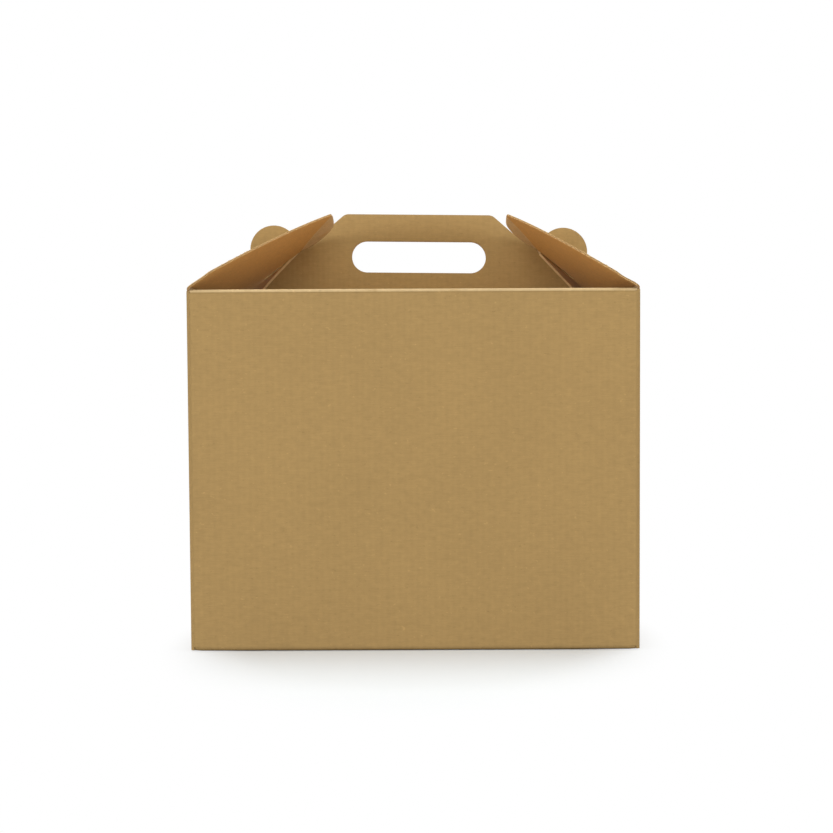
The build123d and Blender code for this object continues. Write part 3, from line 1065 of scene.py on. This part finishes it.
def board_shader(name, base, crease, ribbed):
    """Kraft paper, cloudy and mottled, with fibres along u, specks and the flutes faintly seen."""
    sh = Shader(bpy.data.materials.new(name))
    sheet = sh.node("ShaderNodeAttribute", {}, 1, attribute_name="sheet")
    mark = sh.node("ShaderNodeAttribute", {}, 2, attribute_name="crease")
    u = sh.node("ShaderNodeSeparateXYZ", {0: sheet}, 0)
    cloud = sh.noise(sheet, (14, 10, 14), 2.0)
    mottle = sh.noise(sheet, (240, 330, 240), 3.0, 0.6)
    fibre = sh.noise(sheet, (170, 1900, 300), 2.0, 0.6)
    grain = sh.noise(sheet, (1500, 2600, 1500), 1.0)
    wave = sh.math("COSINE", sh.math("MULTIPLY", u, 2 * math.pi / (PITCH * MM)))
    dark = sh.band(sh.noise(sheet, (420, 900, 420), 1.0), 0.21, 0.26)
    light = sh.band(sh.noise(sheet, (400, 520, 500), 1.5), 0.20, 0.26)
    patchy = sh.band(sh.noise(sheet, (90, 60, 90), 3.0), -0.35, 0.0)
    # The paler crease colour: partly the whitened paper of a fold, partly a painted highlight where
    # the fold catches the light
    crease_wear_and_highlight = sh.math("MULTIPLY", sh.band(mark, 0.45, 0.85), patchy)
    # Painted shade: a thin darker band where a crease's mark fades out beside the fold
    painted_crease_shade = sh.math("MULTIPLY", sh.band(mark, 0.0, 0.35), sh.band(mark, 0.75, 0.4))
    # Painted highlight: the handle's slanted sides are painted much paler, as an edge that catches
    # the light
    painted_edge_highlight = sh.band(mark, 1.0, SLANT_HIGHLIGHT)
    factor = sh.total(1.0, [(cloud, 0.16), (mottle, 0.26), (fibre, 0.22), (grain, 0.10),
                            (wave, 0.012 * ribbed), (dark, -0.12), (light, 0.15),
                            (painted_crease_shade, -0.18), (painted_edge_highlight, 0.5)])
    colour = sh.node("ShaderNodeMix", {0: crease_wear_and_highlight, 6: linear(*base), 7: linear(*crease)}, 2,
                     data_type="RGBA")
    height = sh.total(sh.math("MULTIPLY", wave, 0.22 * ribbed),
                      [(mottle, 0.35), (fibre, 0.45), (grain, 0.25)])
    rough = sh.math("ADD", 0.86, sh.math("MULTIPLY", mottle, 0.12), True)
    return sh.paper(colour, factor, height, 0.00006, rough, 0.28)


def cut_shader(name, base):
    """Torn and cut paper fibres, for the edges of the board."""
    sh = Shader(bpy.data.materials.new(name))
    sheet = sh.node("ShaderNodeAttribute", {}, 1, attribute_name="sheet")
    fuzz = sh.noise(sheet, (900, 900, 2600), 3.0, 0.7)
    patch = sh.noise(sheet, (120, 120, 300), 2.0)
    factor = sh.total(1.0, [(fuzz, 0.34), (patch, 0.22)])
    return sh.paper(linear(*base), factor, fuzz, 0.0001, 0.95, 0.15)


BOARD_MATERIALS = [
    # The second colour of each is the paler crease paper: partly whitened fibres, partly a painted
    # highlight
    board_shader("kraft_outside", (168, 137, 86), (194, 167, 122), 1.0),
    # The inside is lighter and more orange than the outside: partly the liner's own colour, partly
    # painted light for the light bounced about inside the box
    board_shader("kraft_inside", (199, 152, 89), (204, 174, 130), 1.6),
    cut_shader("kraft_cut", (206, 168, 115)),
    cut_shader("kraft_hollow", (170, 134, 88)),
]

box_body()
for hand, flap in ((-1, "left_side_flap"), (1, "right_side_flap")):
    side_flap(hand, flap)
    flap_crease(hand, flap)


def floor():
    """A pale floor that shows the shadow near the box and is plain white further out.

    To the light it is a darker table, so that it throws little light back on the box.
    """
    sh = Shader(bpy.data.materials.new("floor"))
    # The distance from a place a little in front of the middle, counted faster to the sides
    place = sh.node("ShaderNodeTexCoord", {}, 3)
    place = sh.node("ShaderNodeVectorMath", {0: place, 1: (1.8, 1.0, 1.0), 2: (0, 0.06, 0)},
                    operation="MULTIPLY_ADD")
    distance = sh.node("ShaderNodeVectorMath", {0: place}, 1, operation="LENGTH")
    far = sh.band(distance, 0.17, 0.27)
    seen = sh.node("ShaderNodeLightPath", {}, 0)
    table = sh.node("ShaderNodeBsdfDiffuse", {"Color": (0.32, 0.32, 0.32)})
    paper = sh.node("ShaderNodeBsdfDiffuse", {"Color": (0.76, 0.785, 0.79)})
    paper = sh.node("ShaderNodeMixShader", {0: seen, 1: table, 2: paper})
    glow = sh.node("ShaderNodeEmission", {"Color": (1, 1, 1), "Strength": 1.0})
    surface = sh.node("ShaderNodeMixShader", {0: sh.math("MULTIPLY", far, seen), 1: paper, 2: glow})
    mesh = bpy.data.meshes.new("floor")
    reach = 6.0
    level = -0.0002             # just clear of the box's bottom
    corners = [(-reach, -reach), (reach, -reach), (reach, reach), (-reach, reach)]
    mesh.from_pydata([(x, y, level) for x, y in corners], [], [(0, 1, 2, 3)])
    mesh.materials.append(sh.finish(surface))
    piece = bpy.data.objects.new("floor", mesh)
    link(piece)


def lamp(name, at, target, size, watts):
    """A soft rectangular studio lamp."""
    light = bpy.data.lights.new(name, "AREA")
    light.shape = "RECTANGLE"
    light.size, light.size_y = size
    light.energy = watts
    piece = bpy.data.objects.new(name, light)
    piece.location = at
    piece.rotation_euler = (Vector(target) - Vector(at)).to_track_quat("-Z", "Y").to_euler()
    link(piece)


def surroundings():
    """A white world, plain to the camera and weaker as a light."""
    sh = Shader(bpy.data.worlds.new("studio"))
    seen = sh.node("ShaderNodeLightPath", {}, 0)
    level = sh.node("ShaderNodeMapRange", {"Value": seen, "To Min": 0.25})
    white = sh.node("ShaderNodeBackground", {"Color": (1, 1, 1), "Strength": level})
    bpy.context.scene.world = sh.finish(white, "ShaderNodeOutputWorld")


floor()
surroundings()
lamp("overhead", (0.0, 0.15, 1.9), (0, 0, 0.1), (2.2, 1.6), 37)
lamp("front", (-0.1, -2.2, 0.65), (0, 0, 0.2), (1.2, 0.8), 18.5)
lamp("left", (-2.2, -1.0, 0.4), (0, 0, 0.2), (1.0, 0.7), 25)
lamp("right", (2.2, -1.0, 0.4), (0, 0, 0.2), (1.0, 0.7), 24)
lamp("back", (0.4, 2.1, 0.7), (0, 0, 0.15), (2.4, 1.4), 27)

camera = bpy.data.objects.new("camera", bpy.data.cameras.new("camera"))
camera.data.lens = 61.5
camera.data.shift_x = -0.0486
camera.data.shift_y = 0.1106
pitch, roll = math.radians(2.9), math.radians(-0.26)
aim = Matrix.Rotation(math.pi / 2 - pitch, 4, "X") @ Matrix.Rotation(roll, 4, "Z")
camera.matrix_world = Matrix.Translation((0.0235, -0.912, 0.1186)) @ aim
link(camera)
bpy.context.scene.camera = camera
bpy.context.scene.view_settings.view_transform = "Standard"
